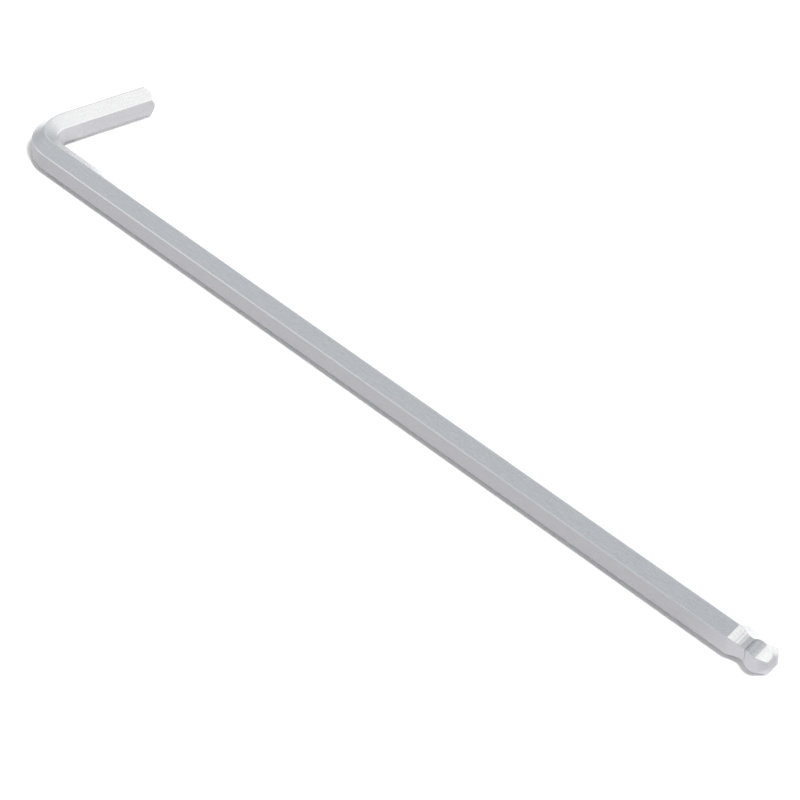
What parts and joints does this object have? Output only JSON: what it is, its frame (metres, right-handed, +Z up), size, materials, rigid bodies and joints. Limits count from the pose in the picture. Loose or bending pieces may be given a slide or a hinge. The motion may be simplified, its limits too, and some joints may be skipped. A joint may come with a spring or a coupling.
{
  "type": "hex key",
  "caption": "L-shaped hexagonal key bent from one bar, with a long arm that ends in a necked ball and a short arm with a chamfered plain end.",
  "frame": {"origin": "middle of the key's rectangular extent, on the surface that it lies on", "axes": "+X along the long arm towards the ball end, +Y along the short arm towards its plain end, +Z up from the surface"},
  "size_m": [0.195, 0.028, 0.0057],
  "materials": {
    "satin_steel": "satin plated steel"
  },
  "bodies": {
    "root": {"hex_key": "satin_steel"}
  },
  "joints": []
}
